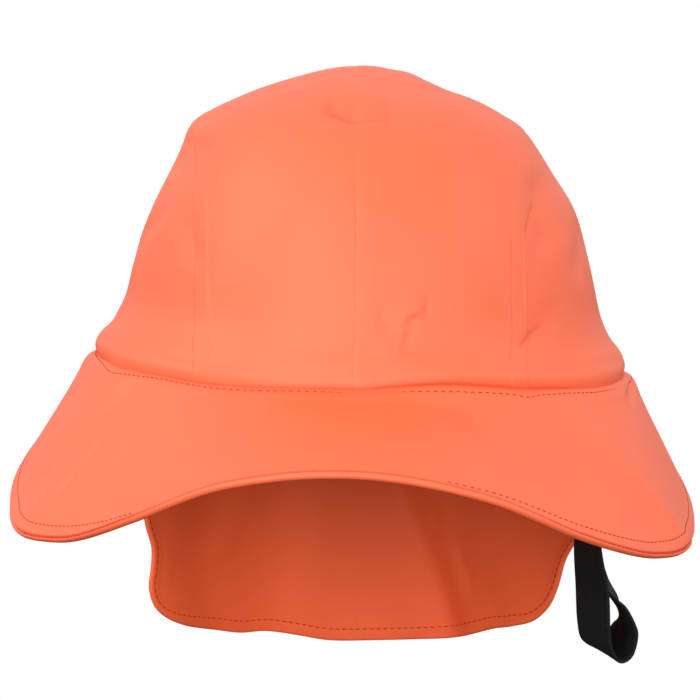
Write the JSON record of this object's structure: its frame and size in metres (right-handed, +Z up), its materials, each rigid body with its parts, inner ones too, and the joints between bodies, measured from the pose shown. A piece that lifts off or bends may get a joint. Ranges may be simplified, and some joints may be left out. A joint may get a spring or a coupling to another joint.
{
  "type": "fishing hat, a brimmed rain hat with a long back brim",
  "caption": "Soft rain hat with a seamed round crown, a flared front brim, a long neck flap behind and a webbing strap in a loop at one ear.",
  "frame": {"origin": "centre of the head opening, level with the seam between crown and brim", "axes": "+Z up through the crown, -Y to the front brim, +X to the wearer's left"},
  "size_m": [0.2247, 0.269, 0.2106],
  "materials": {
    "crown_cloth": "smooth coated cloth with a satin sheen",
    "brim_cloth": "smooth coated cloth with a satin sheen, turned and stitched at the edge",
    "webbing": "fine black woven webbing",
    "thread": "fine twisted sewing thread, a darker coral"
  },
  "bodies": {
    "root": {"crown_centre_left": "crown_cloth", "crown_centre_right": "crown_cloth", "crown_side_left": "crown_cloth", "crown_side_right": "crown_cloth", "brim": "brim_cloth", "chin_strap": "webbing"}
  },
  "joints": []
}
